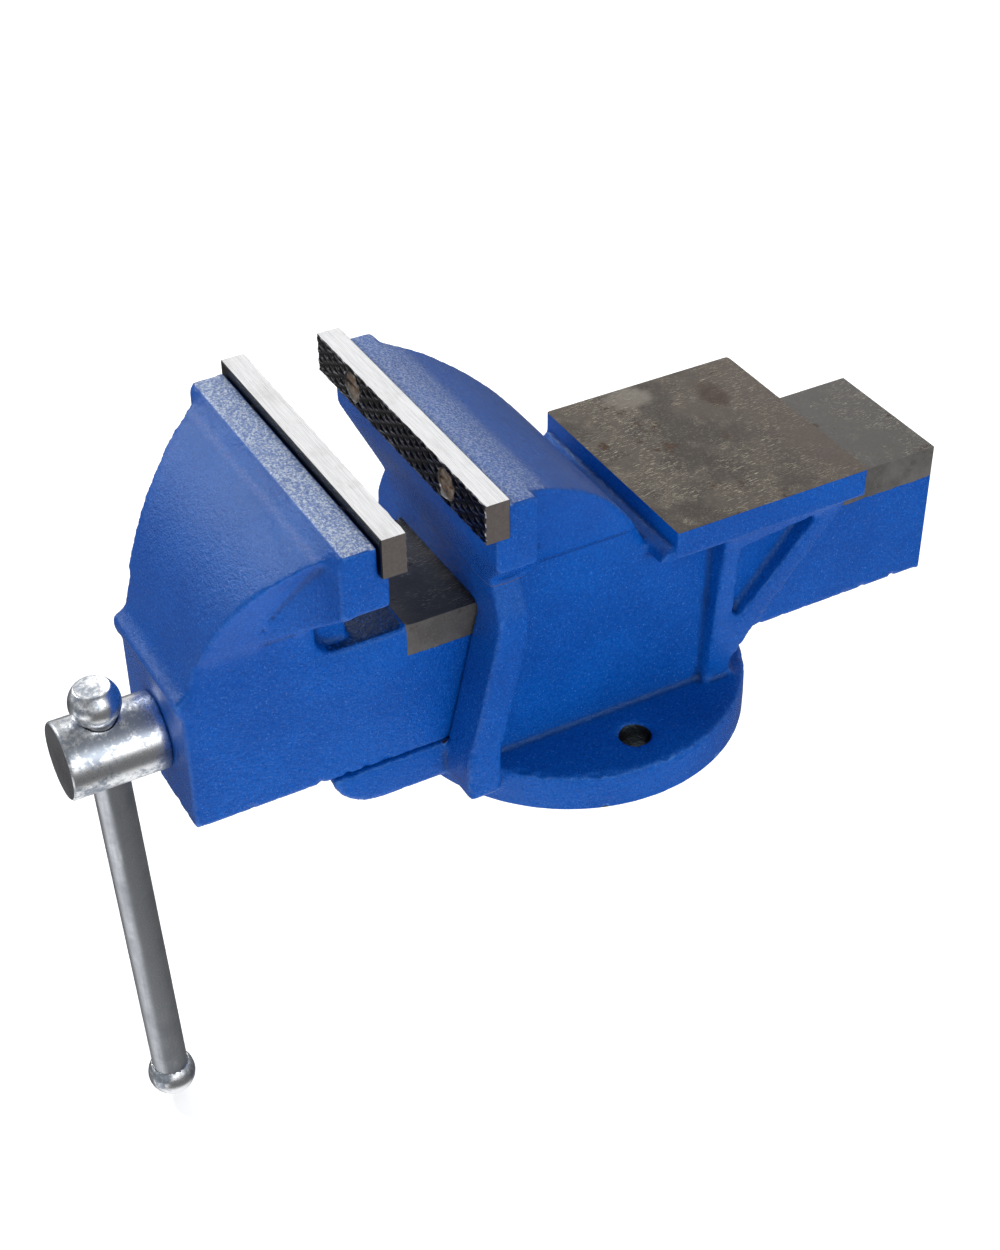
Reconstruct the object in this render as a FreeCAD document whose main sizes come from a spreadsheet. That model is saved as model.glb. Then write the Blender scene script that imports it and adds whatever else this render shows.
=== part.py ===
import FreeCAD, Part
import math
import os
import Sketcher

# Bench vise with 150 mm jaws, in millimetres.
# X runs along the jaws, +Y from the handle to the anvil, Z is up.
# The origin is the centre of the round base's underside, on the bench top.

SIZES = {
    # jaws and their hardened plates
    "jaw_width": 150.0,
    "jaw_side": 72.5,
    "jaw_top": 171.7,
    "plate_thick": 11.0,
    "plate_high": 17.9,
    "plate_top": 176.1,
    "grip_fixed": -81.3,
    "grip_moving": -114.4,
    "seat_step": 4.7,
    "wing_low": 142.0,
    # plate screws: M8 cheese heads with a slot
    "screw_spacing": 84.0,
    "screw_sink": 1.2,
    "screw_shank": 4.0,
    "screw_head": 6.6,
    "screw_head_high": 4.4,
    "screw_reach": 20.0,
    "tap_depth": 11.5,
    "slot_width": 1.8,
    "slot_depth": 2.2,
    # sliding ram of the moving jaw
    "ram_side": 34.9,
    "ram_top": 98.6,
    "ram_floor": 29.5,
    "ram_end": 173.8,
    "ram_core_side": 22.0,
    "ram_core_top": 84.0,
    "ram_machined": -97.3,
    "front_face": -196.8,
    "front_wall": 17.0,
    "lip_out": 2.8,
    "lip_low": 88.0,
    "lip_top": 98.5,
    "brow_radius": 93.1,
    "brow_y": -142.0,
    "brow_top": 168.0,
    "cheek_low": 93.0,
    "cheek_radius": 105.8,
    "neck_side": 28.0,
    "neck_front": -137.0,
    "neck_floor": 97.4,
    "neck_round": 8.0,
    # fixed body
    "slide_gap": 0.3,
    "base_radius": 82.0,
    "base_thick": 18.5,
    "bolt_spacing": 120.0,
    "bolt_radius": 7.0,
    "body_side": 41.5,
    "body_rear": 60.0,
    "pad_rear": -56.0,
    "pad_rear_z": 169.9,
    "collar_side": 57.0,
    "collar_top": 112.0,
    "collar_knee": 96.0,
    "collar_face": -65.6,
    "collar_foot": -81.0,
    "collar_foot_z": 31.0,
    "collar_rear_low": -65.0,
    "collar_rear_top": -51.0,
    "horn_radius": 125.9,
    "horn_end": 15.0,
    "horn_end_z": 103.6,
    "flank_low": 90.0,
    "flank_radius": 136.7,
    "tongue_tip": -134.0,
    "tongue_flat": -112.0,
    "tongue_low": 10.5,
    "tongue_side": 35.5,
    # anvil and its gussets
    "anvil_side": 55.35,
    "anvil_front": 21.0,
    "anvil_rear": 119.7,
    "anvil_top": 115.8,
    "anvil_low": 102.0,
    "rib_front": 45.5,
    "rib_foot": 45.3,
    "rib_head": 52.5,
    "web_foot_z": 25.5,
    "web_knee_y": 71.0,
    "web_knee_z": 42.0,
    "web_top_y": 112.0,
    "web_top_z": 98.5,
    "window_floor": 42.0,
    # spindle, its head and the parts on it
    "axis_z": 59.8,
    "thread_radius": 12.0,
    "thread_pitch": 6.0,
    "thread_depth": 3.0,
    "thread_start": -150.0,
    "thread_end": 150.0,
    "journal_radius": 12.5,
    "journal_end": -153.0,
    "running_gap": 0.06,
    "head_radius": 17.1,
    "head_front": -239.5,
    "tenon_radius": 10.0,
    "tenon_end": -209.0,
    "handle_y": -221.2,
    "head_pin_y": -203.0,
    "head_pin_radius": 3.0,
    "washer_thick": 2.5,
    "washer_radius": 18.0,
    "spring_radius": 15.0,
    "spring_wire": 1.6,
    "spring_turns": 2.5,
    "spring_free": 8.7,
    "collar_length": 11.0,
    "collar_radius": 18.0,
    "collar_pin_radius": 2.5,
    # handle; its lean is in degrees, as the bar hangs out of square with the spindle
    "bar_radius": 8.2,
    "bar_hole": 8.7,
    "knob_radius": 11.0,
    "upper_knob_flat": 7.6,
    "lower_knob_flat": 3.5,
    "knob_bore_depth": 12.0,
    "upper_knob_z": 83.9,
    "lower_knob_z": -144.5,
    "handle_lean": 2.1,
    # nut and its bolts: M10 socket heads from below
    "nut_side": 18.0,
    "nut_front": -48.0,
    "nut_rear": 6.0,
    "nut_top": 78.0,
    "nut_foot": 29.3,
    "nut_bolt_front": -34.0,
    "nut_bolt_rear": -8.0,
    "nut_bolt_radius": 5.0,
    "nut_bolt_head": 8.0,
    "nut_bolt_head_high": 10.0,
    "nut_bolt_top": 44.0,
    "counterbore_radius": 9.5,
    "counterbore_depth": 14.5,
    "socket_radius": 4.0,
    "socket_depth": 5.0,
    "lock_washer_thick": 2.2,
    "lock_washer_radius": 8.8,
}

doc = FreeCAD.newDocument("bench_vise")
sheet = doc.addObject("Spreadsheet::Sheet", "sizes")
for row, (alias, number) in enumerate(SIZES.items(), start=1):
    sheet.set(f"A{row}", str(number))
    sheet.setAlias(f"A{row}", alias)
doc.recompute()


class Size:
    """A length with its number now and the sheet expression that drives it."""

    def __init__(self, number, text=None):
        self.number = float(number)
        self.text = text or repr(float(number))

    def __add__(self, other):
        other = as_size(other)
        return Size(self.number + other.number, f"({self.text} + {other.text})")

    def __sub__(self, other):
        other = as_size(other)
        return Size(self.number - other.number, f"({self.text} - {other.text})")

    def __mul__(self, factor):
        return Size(self.number * factor, f"({self.text} * {factor})")

    def __neg__(self):
        return self * -1

    def __radd__(self, other):
        return as_size(other) + self

    def __rsub__(self, other):
        return as_size(other) - self


def as_size(value):
    return value if isinstance(value, Size) else Size(value)


class Sheet:
    """Reads a cell as an attribute, such as cell.jaw_width."""

    def __getattr__(self, alias):
        return Size(sheet.get(alias), f"sizes.{alias}")


cell = Sheet()

PLANES = {"X": "YZ_Plane", "Y": "XZ_Plane", "Z": "XY_Plane"}
NODES = []


def new_body(name):
    body = doc.addObject("PartDesign::Body", name)
    body.Label = name
    return body


def keep(node, label):
    """Names a finished sub-part, which becomes one file."""
    node.Label = label
    NODES.append(node)
    return node


def bind(obj, prop, size):
    size = as_size(size)
    obj.setExpression(prop, size.text)


def arc_centre(start, end, radius):
    """Centre of the short arc from start to end; a positive radius turns left."""
    (ax, ay), (bx, by) = start, end
    chord = math.hypot(bx - ax, by - ay)
    rise = math.sqrt(max(radius**2 - chord**2 / 4, 0.0)) * math.copysign(1, radius)
    return (
        (ax + bx) / 2 - (by - ay) / chord * rise,
        (ay + by) / 2 + (bx - ax) / chord * rise,
    )


def add_edge(sketch, start, end, radius):
    """Draws a line, or an arc when radius is given. Returns its ends' positions."""
    if radius is None:
        line = Part.LineSegment(FreeCAD.Vector(*start, 0), FreeCAD.Vector(*end, 0))
        return sketch.addGeometry(line, False), 1, 2
    centre = arc_centre(start, end, radius.number)
    turns = [math.atan2(p[1] - centre[1], p[0] - centre[0]) for p in (start, end)]
    if radius.number < 0:
        turns.reverse()
    if turns[1] < turns[0]:
        turns[1] += 2 * math.pi
    circle = Part.Circle(FreeCAD.Vector(*centre, 0), FreeCAD.Vector(0, 0, 1), abs(radius.number))
    edge = sketch.addGeometry(Part.ArcOfCircle(circle, *turns), False)
    limit = sketch.addConstraint(Sketcher.Constraint("Radius", edge, abs(radius.number)))
    bind(sketch, f"Constraints[{limit}]", radius if radius.number > 0 else -radius)
    return (edge, 1, 2) if radius.number > 0 else (edge, 2, 1)


def add_loop(sketch, corners):
    """Draws a closed outline. A corner is (a, b), or (a, b, radius) when an arc reaches it."""
    points = [(as_size(corner[0]), as_size(corner[1])) for corner in corners]
    flat = [(a.number, b.number) for a, b in points]
    count = len(corners)
    edges = []
    for index in range(count):
        following = (index + 1) % count
        bend = corners[following][2] if len(corners[following]) > 2 else None
        bend = None if bend is None else as_size(bend)
        edges.append(add_edge(sketch, flat[index], flat[following], bend))
    for index, (edge, first, last) in enumerate(edges):
        after, after_first, _ = edges[(index + 1) % count]
        sketch.addConstraint(Sketcher.Constraint("Coincident", edge, last, after, after_first))
        for kind, size in zip(("DistanceX", "DistanceY"), points[index]):
            limit = sketch.addConstraint(Sketcher.Constraint(kind, -1, 1, edge, first, size.number))
            bind(sketch, f"Constraints[{limit}]", size)


def add_circle(sketch, centre, radius):
    a, b, radius = as_size(centre[0]), as_size(centre[1]), as_size(radius)
    place = FreeCAD.Vector(a.number, b.number, 0)
    ring = sketch.addGeometry(Part.Circle(place, FreeCAD.Vector(0, 0, 1), radius.number), False)
    limits = (
        (("Radius", ring, radius.number), radius),
        (("DistanceX", -1, 1, ring, 3, a.number), a),
        (("DistanceY", -1, 1, ring, 3, b.number), b),
    )
    for values, size in limits:
        limit = sketch.addConstraint(Sketcher.Constraint(*values))
        bind(sketch, f"Constraints[{limit}]", size)


def new_sketch(body, name, axis, level):
    """A sketch square to an axis: across X it shows (y, z), across Y (x, z), across Z (x, y)."""
    sketch = body.newObject("Sketcher::SketchObject", name)
    role = PLANES[axis]
    plane = next(item for item in body.Origin.OriginFeatures if item.Role == role)
    sketch.AttachmentSupport = [(plane, "")]
    sketch.MapMode = "FlatFace"
    bind(sketch, "AttachmentOffset.Base.z", -as_size(level) if axis == "Y" else as_size(level))
    return sketch


def extrude(body, kind, name, axis, low, high, loops=(), circles=()):
    """A Pad or Pocket that fills from low to high along the axis."""
    low, high = as_size(low), as_size(high)
    sketch = new_sketch(body, f"{name}_sketch", axis, (low + high) * 0.5)
    for loop in loops:
        add_loop(sketch, loop)
    for centre, radius in circles:
        add_circle(sketch, centre, radius)
    before = body.Shape.Volume if body.Tip else 0.0
    feature = body.newObject(f"PartDesign::{kind}", name)
    feature.Profile = sketch
    feature.SideType = "Symmetric"
    bind(feature, "Length", high - low)
    doc.recompute()
    grown = feature.Shape.Volume - before
    if grown == 0 or (grown > 0) != (kind == "Pad"):
        raise RuntimeError(f"{body.Name}.{name} changed the volume by {grown:.1f}")
    return feature


def pad(body, name, axis, low, high, loops=(), circles=()):
    return extrude(body, "Pad", name, axis, low, high, loops, circles)


def pocket(body, name, axis, low, high, loops=(), circles=()):
    return extrude(body, "Pocket", name, axis, low, high, loops, circles)


def turn(body, kind, name, axis, level, corners, line="V_Axis"):
    """A Revolution or Groove of an outline about the sketch's own vertical or horizontal axis."""
    sketch = new_sketch(body, f"{name}_sketch", axis, level)
    add_loop(sketch, corners)
    feature = body.newObject(f"PartDesign::{kind}", name)
    feature.Profile = sketch
    feature.ReferenceAxis = (sketch, [line])
    feature.Angle = 360
    doc.recompute()
    return feature


def round_edges(body, name, radius, wanted):
    """Fillets the edges of the body's last feature that wanted(edge) picks."""
    base = body.Tip
    picked = [f"Edge{i}" for i, edge in enumerate(base.Shape.Edges, start=1) if wanted(edge)]
    if not picked:
        raise RuntimeError(f"{body.Name}.{name} found no edge")
    feature = body.newObject("PartDesign::Fillet", name)
    feature.Base = (base, picked)
    feature.Radius = radius
    doc.recompute()
    return feature


def both_sides(corners):
    """The outline and its mirror image about the middle plane, for front and plan views."""
    mirrored = []
    for corner in corners:
        turned = (-as_size(corner[0]), corner[1])
        mirrored.append(turned + ((-as_size(corner[2]),) if len(corner) > 2 else ()))
    return [list(corners), mirrored]


def box(a_low, a_high, b_low, b_high):
    return [(a_low, b_low), (a_high, b_low), (a_high, b_high), (a_low, b_high)]


def tool_cut(name, base, tools):
    """The base body less the tool bodies."""
    tool = tools[0]
    if len(tools) > 1:
        tool = doc.addObject("Part::MultiFuse", f"{name}_tools")
        tool.Shapes = tools
    cut = doc.addObject("Part::Cut", name)
    cut.Base = base
    cut.Tool = tool
    doc.recompute()
    return cut


def waste_corner(name, front_view, plan_view, y_low, y_high, z_low, z_high):
    """Material to remove where a front-view outline and a plan-view outline overlap."""
    parts = []
    for suffix, axis, low, high, outline in (
        ("front", "Y", y_low, y_high, front_view),
        ("plan", "Z", z_low, z_high, plan_view),
    ):
        body = new_body(f"{name}_{suffix}")
        pad(body, f"{name}_{suffix}_pad", axis, low, high, both_sides(outline))
        parts.append(body)
    common = doc.addObject("Part::MultiCommon", name)
    common.Shapes = parts
    doc.recompute()
    return common


inner_face = cell.front_face + cell.front_wall
spring_seat = inner_face + cell.washer_thick + cell.spring_free
collar_low = spring_seat + cell.washer_thick + 0.05
collar_pin_y = collar_low + cell.collar_length * 0.5
half_plates = cell.screw_spacing * 0.5
screw_z = cell.plate_top - cell.plate_high * 0.5
seat_z = cell.plate_top - cell.plate_high
seat_moving = cell.grip_moving - cell.plate_thick
seat_fixed = cell.grip_fixed + cell.plate_thick
FAR = 120.0


def build_movable_jaw():
    body = new_body("movable_casting")
    wing_front = cell.brow_y
    profile = [
        (cell.front_face, cell.ram_floor),
        (cell.ram_end, cell.ram_floor),
        (cell.ram_end, cell.ram_top),
        (cell.ram_machined, cell.ram_top),
        (cell.ram_machined, cell.neck_floor),
        (seat_moving + cell.seat_step, cell.neck_floor),
        (seat_moving + cell.seat_step, seat_z),
        (seat_moving, seat_z),
        (seat_moving, cell.jaw_top),
        (cell.brow_y + 2.0, cell.jaw_top),
        (cell.brow_y, cell.brow_top),
        (cell.front_face + 3.4, cell.lip_top + 1.5, cell.brow_radius),
        (cell.front_face - cell.lip_out, cell.lip_top - 1.5),
        (cell.front_face - cell.lip_out, cell.lip_low + 3.0),
        (cell.front_face, cell.lip_low),
    ]
    pad(body, "side_profile", "X", -cell.jaw_side, cell.jaw_side, [profile])
    # the box and ram are narrower than the jaws
    below_wing = [
        (cell.ram_side, 0.0),
        (FAR, 0.0),
        (FAR, cell.wing_low),
        (cell.jaw_side, cell.wing_low),
        (cell.ram_side, cell.cheek_low + 21.0),
    ]
    pocket(body, "beside_box", "Y", cell.front_face - 20.0, cell.neck_front, both_sides(below_wing))
    beside_ram = box(cell.ram_side, FAR, 0.0, cell.wing_low)
    pocket(body, "beside_ram", "Y", cell.neck_front, cell.ram_end + 20.0, both_sides(beside_ram))
    throat = [
        (cell.neck_front, cell.neck_floor + cell.neck_round),
        (cell.neck_front + cell.neck_round, cell.neck_floor, cell.neck_round),
        (cell.ram_machined, cell.neck_floor),
        (cell.ram_machined, cell.wing_low),
        (cell.neck_front, cell.wing_low),
    ]
    for side, low, high in (("left", -FAR, -cell.neck_side), ("right", cell.neck_side, FAR)):
        pocket(body, f"throat_{side}", "X", low, high, [throat])
    # hollow of the ram, open below and at the rear
    core = box(-cell.ram_core_side, cell.ram_core_side, 0.0, cell.ram_core_top)
    pocket(body, "ram_core", "Y", inner_face, cell.ram_end + 20.0, [core])
    bore = ((0.0, cell.axis_z), cell.journal_radius + cell.running_gap)
    pocket(body, "spindle_bore", "Y", cell.front_face - 20.0, inner_face + 1.0, (), [bore])
    taps = [((side, screw_z), cell.screw_shank + 0.05) for side in (-half_plates, half_plates)]
    pocket(body, "plate_taps", "Y", seat_moving - cell.tap_depth, seat_moving + 1.0, (), taps)
    front_view = [
        (cell.ram_side, cell.cheek_low),
        (cell.ram_side + 30.3, cell.cheek_low + 74.0, -cell.cheek_radius),
        (cell.ram_side + 32.5, cell.jaw_top + 9.0),
        (FAR, cell.jaw_top + 9.0),
        (FAR, cell.cheek_low),
    ]
    sweep = cell.jaw_side - cell.ram_side
    plan_view = [
        (cell.jaw_side, wing_front),
        (cell.ram_side, wing_front - sweep, sweep),
        (cell.ram_side, cell.front_face - 20.0),
        (FAR, cell.front_face - 20.0),
        (FAR, wing_front),
    ]
    waste = waste_corner(
        "cheek", front_view, plan_view, cell.front_face - 20.0, 0.0, 0.0, cell.jaw_top + 20.0
    )
    return keep(tool_cut("movable_jaw", body, [waste]), "movable_jaw")


def build_fixed_body():
    body = new_body("fixed_casting")
    run = cell.ram_side + cell.slide_gap
    roof = cell.ram_top + cell.slide_gap
    floor = cell.ram_floor - cell.slide_gap
    ledge = seat_fixed - cell.seat_step
    profile = [
        (cell.collar_foot, cell.tongue_low),
        (cell.body_rear, cell.tongue_low),
        (cell.body_rear, cell.web_foot_z),
        (cell.web_knee_y, cell.web_knee_z),
        (cell.web_top_y, cell.web_top_z),
        (cell.web_top_y, cell.anvil_low + 2.0),
        (cell.anvil_front, cell.anvil_low + 2.0),
        (cell.horn_end, cell.horn_end_z),
        (cell.pad_rear, cell.pad_rear_z, cell.horn_radius),
        (cell.pad_rear - 2.0, cell.jaw_top),
        (seat_fixed, cell.jaw_top),
        (seat_fixed, seat_z),
        (ledge, seat_z),
        (ledge, cell.wing_low),
        (cell.collar_face, cell.collar_top + 6.0),
        (cell.collar_face, cell.collar_knee),
        (cell.collar_foot, cell.collar_foot_z),
    ]
    pad(body, "side_profile", "X", -cell.jaw_side, cell.jaw_side, [profile])
    # the lower part is as wide as the collar, the upper part spreads to the jaw
    below_wing = [
        (cell.collar_side, 0.0),
        (FAR, 0.0),
        (FAR, cell.wing_low - 2.0),
        (cell.jaw_side, cell.wing_low - 2.0),
        (cell.collar_side - 9.0, cell.collar_top + 6.0),
        (cell.collar_side - 5.0, cell.collar_top),
        (cell.collar_side, cell.collar_top - 10.0),
    ]
    pocket(body, "below_wing", "Y", cell.collar_foot - 20.0, FAR, both_sides(below_wing))
    # behind the collar the flanks step in to the body
    flank = [
        (cell.collar_rear_low, 0.0),
        (FAR + 20.0, 0.0),
        (FAR + 20.0, cell.collar_top + 4.0),
        (cell.collar_rear_top, cell.collar_top + 4.0),
        (cell.collar_rear_top, cell.flank_low),
        (cell.collar_rear_low, cell.collar_foot_z),
    ]
    for side, low, high in (("left", -FAR, -cell.body_side), ("right", cell.body_side, FAR)):
        pocket(body, f"flank_{side}", "X", low, high, [flank])
    front_view = [
        (cell.body_side, cell.flank_low),
        (cell.body_side + 20.5, cell.flank_low + 72.0, -cell.flank_radius),
        (cell.body_side + 28.0, cell.jaw_top + 4.0),
        (FAR, cell.jaw_top + 4.0),
        (FAR, cell.flank_low),
    ]
    sweep = cell.jaw_side - cell.body_side
    plan_view = [
        (cell.jaw_side, cell.pad_rear, sweep),
        (FAR, cell.pad_rear),
        (FAR, FAR + 20.0),
        (cell.body_side, FAR + 20.0),
        (cell.body_side, cell.pad_rear + sweep),
    ]
    waste = waste_corner(
        "flank", front_view, plan_view, cell.pad_rear, FAR + 20.0, 0.0, cell.jaw_top + 20.0
    )
    head = tool_cut("fixed_head", body, [waste])

    base = new_body("fixed_base")
    pad(base, "flange", "Z", 0.0, cell.base_thick, (), [((0.0, 0.0), cell.base_radius)])
    tongue = [
        (cell.tongue_tip, cell.tongue_low + 14.0),
        (cell.tongue_flat, cell.tongue_low, 24.0),
        (cell.collar_foot + 8.0, cell.tongue_low),
        (cell.collar_foot + 8.0, floor),
        (cell.tongue_tip, floor),
    ]
    pad(base, "tongue", "X", -cell.tongue_side, cell.tongue_side, [tongue])
    anvil = box(cell.anvil_front, cell.anvil_rear, roof, cell.anvil_top)
    pad(base, "anvil", "X", -cell.rib_foot, cell.rib_foot, [anvil])
    slab = box(cell.anvil_front, cell.anvil_rear, cell.anvil_low, cell.anvil_top)
    pad(base, "anvil_slab", "X", -cell.anvil_side, cell.anvil_side, [slab])
    gusset = [
        (cell.rib_front, 0.0),
        (cell.body_rear, 0.0),
        (cell.body_rear, cell.web_foot_z),
        (cell.web_knee_y, cell.web_knee_z),
        (cell.web_top_y, cell.web_top_z),
        (cell.web_top_y, cell.anvil_low + 1.0),
        (cell.rib_front + 3.0, cell.anvil_low + 1.0),
    ]
    pad(base, "gusset", "X", -cell.rib_head, cell.rib_head, [gusset])
    rib_slope = [
        (cell.rib_foot, cell.base_thick),
        (cell.rib_head, cell.anvil_low),
        (FAR, cell.anvil_low),
        (FAR, cell.base_thick),
    ]
    pocket(base, "rib_slope", "Y", 0.0, FAR + 20.0, both_sides(rib_slope))
    window = [
        (cell.rib_front + 12.0, cell.web_knee_z + 14.0),
        (cell.rib_front + 15.5, cell.web_knee_z + 9.0),
        (cell.web_top_y - 14.0, cell.anvil_low - 5.0),
        (cell.rib_front + 12.0, cell.anvil_low - 9.5),
    ]
    inner = cell.window_floor
    for side, low, high in (("left", -FAR, -inner), ("right", inner, FAR)):
        pocket(base, f"window_{side}", "X", low, high, [window])
    fused = doc.addObject("Part::MultiFuse", "fixed_solid")
    fused.Shapes = [head, base]

    space = new_body("fixed_space")
    tunnel = box(-run, run, floor, roof)
    pad(space, "tunnel", "Y", cell.tongue_tip - 10.0, FAR + 20.0, [tunnel])
    half_bolts = cell.bolt_spacing * 0.5
    bolts = [((side, 0.0), cell.bolt_radius) for side in (-half_bolts, half_bolts)]
    hold_down = new_body("hold_down_space")
    pad(hold_down, "bolt_holes", "Z", -1.0, cell.base_thick + 1.0, (), bolts)
    nut_rows = (cell.nut_bolt_front, cell.nut_bolt_rear)
    clear = [((0.0, row), cell.nut_bolt_radius + 0.5) for row in nut_rows]
    bored = [((0.0, row), cell.counterbore_radius) for row in nut_rows]
    shank_space = new_body("nut_bolt_space")
    pad(shank_space, "nut_bolt_holes", "Z", -1.0, floor + 1.0, (), clear)
    head_space = new_body("nut_bolt_head_space")
    pad(head_space, "counterbores", "Z", -1.0, cell.counterbore_depth, (), bored)
    tap_space = new_body("plate_tap_space")
    taps = [((side, screw_z), cell.screw_shank + 0.05) for side in (-half_plates, half_plates)]
    pad(tap_space, "plate_taps", "Y", seat_fixed - 1.0, seat_fixed + cell.tap_depth, (), taps)
    tools = [space, hold_down, shank_space, head_space, tap_space]
    return keep(tool_cut("fixed_jaw_body", fused, tools), "fixed_jaw_body")


def build_jaw_plate(name, low, face, inward):
    """A hardened plate with two counterbored holes; face is its gripping side's y."""
    body = new_body(name)
    high = low + cell.plate_thick
    half = cell.jaw_width * 0.5
    pad(body, "blank", "Y", low, high, [box(-half, half, seat_z, cell.plate_top)])
    floor = face + (cell.screw_sink + cell.screw_head_high + 0.1) * inward
    outside = face - Size(1.0) * inward
    recess = (outside, floor) if inward > 0 else (floor, outside)
    for index, side in enumerate((-half_plates, half_plates), start=1):
        hole = ((side, screw_z), cell.screw_shank + 0.4)
        pocket(body, f"hole_{index}", "Y", low - 1.0, high + 1.0, (), [hole])
        mouth = ((side, screw_z), cell.screw_head + 0.3)
        pocket(body, f"recess_{index}", "Y", *recess, (), [mouth])
    return keep(body, name)


def build_plate_screws(name, face, inward):
    """Two cheese-head screws whose heads sit below the gripping face."""
    body = new_body(name)
    top = face + cell.screw_sink * inward
    under = top + cell.screw_head_high * inward
    tip = top + cell.screw_reach * inward
    for index, side in enumerate((-half_plates, half_plates), start=1):
        head = ((side, screw_z), cell.screw_head)
        shank = ((side, screw_z), cell.screw_shank)
        low, high = (top, under) if inward > 0 else (under, top)
        pad(body, f"head_{index}", "Y", low, high, (), [head])
        low, high = (top, tip) if inward > 0 else (tip, top)
        pad(body, f"shank_{index}", "Y", low, high, (), [shank])
        slot_floor = top + cell.slot_depth * inward
        low, high = (top - 1.0, slot_floor) if inward > 0 else (slot_floor, top + 1.0)
        half = cell.slot_width * 0.5
        slot = box(side - cell.screw_head, side + cell.screw_head, screw_z - half, screw_z + half)
        pocket(body, f"slot_{index}", "Y", low, high, [slot])
    return keep(body, name)


def lay_along_spindle(node, y=0.0):
    """Turns a piece made about its own Z axis onto the spindle's axis, +Z becoming +Y."""
    node.Placement = FreeCAD.Placement(
        FreeCAD.Vector(0, y, 0), FreeCAD.Rotation(FreeCAD.Vector(1, 0, 0), -90)
    )
    bind(node, "Placement.Base.z", cell.axis_z)
    return node


def turned_piece(name, profile, y=0.0):
    """A revolved piece on the spindle's axis, from an outline of (radius, length)."""
    body = new_body(name)
    turn(body, "Revolution", "turned", "Y", 0.0, profile)
    return lay_along_spindle(body, y)


def lean(node):
    """Tilts a handle piece about the upper knob's centre, its lower end towards the anvil."""
    centre = FreeCAD.Vector(0, SIZES["handle_y"], SIZES["upper_knob_z"])
    tilt = FreeCAD.Rotation(FreeCAD.Vector(1, 0, 0), SIZES["handle_lean"])
    node.Placement = FreeCAD.Placement(FreeCAD.Vector(), tilt, centre)
    return node


def ring(inner, outer, low, high, chamfer=0.0):
    """Outline of a ring with an optional chamfer on its outer edges."""
    if not chamfer:
        return [(inner, low), (outer, low), (outer, high), (inner, high)]
    return [
        (inner, low),
        (outer - chamfer, low),
        (outer, low + chamfer),
        (outer, high - chamfer),
        (outer - chamfer, high),
        (inner, high),
    ]


def build_lead_screw():
    """Spindle, made about Z with its length along it: tenon, journal and threaded part."""
    body = new_body("lead_screw")
    root = cell.thread_radius - cell.thread_depth
    profile = [
        (0.0, cell.tenon_end),
        (cell.tenon_radius, cell.tenon_end),
        (cell.tenon_radius, cell.front_face),
        (cell.journal_radius, cell.front_face),
        (cell.journal_radius, cell.journal_end),
        (root, cell.journal_end),
        (root, cell.thread_end + 4.0),
        (root - 2.0, cell.thread_end + 6.0),
        (0.0, cell.thread_end + 6.0),
    ]
    turn(body, "Revolution", "core", "Y", 0.0, profile)
    ridge = new_sketch(body, "ridge_sketch", "Y", 0.0)
    foot = cell.thread_pitch * 0.32
    crest = cell.thread_pitch * 0.18
    start = cell.thread_start
    add_loop(
        ridge,
        [
            (root - 0.3, start - foot),
            (cell.thread_radius, start - crest),
            (cell.thread_radius, start + crest),
            (root - 0.3, start + foot),
        ],
    )
    thread = body.newObject("PartDesign::AdditiveHelix", "thread")
    thread.Profile = ridge
    thread.ReferenceAxis = (ridge, ["V_Axis"])
    thread.Mode = "pitch-height-angle"
    bind(thread, "Pitch", cell.thread_pitch)
    bind(thread, "Height", cell.thread_end - cell.thread_start)
    doc.recompute()
    # cross holes of the two pins; the spindle's own +Y side faces down once it is laid flat
    head_hole = ((0.0, cell.head_pin_y), cell.head_pin_radius)
    pocket(body, "head_pin_hole", "Y", -5.0, 30.0, (), [head_hole])
    collar_hole = ((0.0, collar_pin_y), cell.collar_pin_radius)
    pocket(body, "collar_pin_hole", "Y", -30.0, 30.0, (), [collar_hole])
    return keep(lay_along_spindle(body), "lead_screw")


def build_spindle_head():
    """Barrel head, bored for the spindle's tenon and crossed by the handle's hole."""
    low, high = cell.head_front, cell.front_face
    profile = [
        (0.0, low),
        (cell.head_radius - 1.2, low),
        (cell.head_radius, low + 1.2),
        (cell.head_radius, high - 0.6),
        (cell.head_radius - 0.6, high),
        (cell.tenon_radius, high),
        (cell.tenon_radius, cell.tenon_end),
        (0.0, cell.tenon_end),
    ]
    body = new_body("head_barrel")
    turn(body, "Revolution", "barrel", "Y", 0.0, profile)
    pin_hole = ((0.0, cell.head_pin_y), cell.head_pin_radius)
    pocket(body, "head_pin_hole", "Y", -5.0, 30.0, (), [pin_hole])
    lay_along_spindle(body)
    hole = new_body("handle_hole")
    place = ((0.0, cell.handle_y), cell.bar_hole)
    pad(hole, "hole", "Z", cell.axis_z - 30.0, cell.axis_z + 30.0, (), [place])
    return keep(tool_cut("spindle_head", body, [lean(hole)]), "spindle_head")


def build_spindle_fittings():
    """What holds the spindle in the moving jaw: washers, spring, collar and pins."""
    loose = cell.journal_radius + 0.3
    thick = cell.washer_thick
    seat = inner_face + 0.05
    for name, low in (("thrust_washer", seat), ("spring_washer", spring_seat)):
        keep(turned_piece(name, ring(loose, cell.washer_radius, low, low + thick)), name)
    collar = new_body("retaining_collar")
    outline = ring(
        cell.journal_radius, cell.collar_radius, collar_low, collar_low + cell.collar_length, 0.8
    )
    turn(collar, "Revolution", "turned", "Y", 0.0, outline)
    pin_hole = ((0.0, collar_pin_y), cell.collar_pin_radius)
    pocket(collar, "pin_hole", "Y", -30.0, 30.0, (), [pin_hole])
    keep(lay_along_spindle(collar), "retaining_collar")


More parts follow.
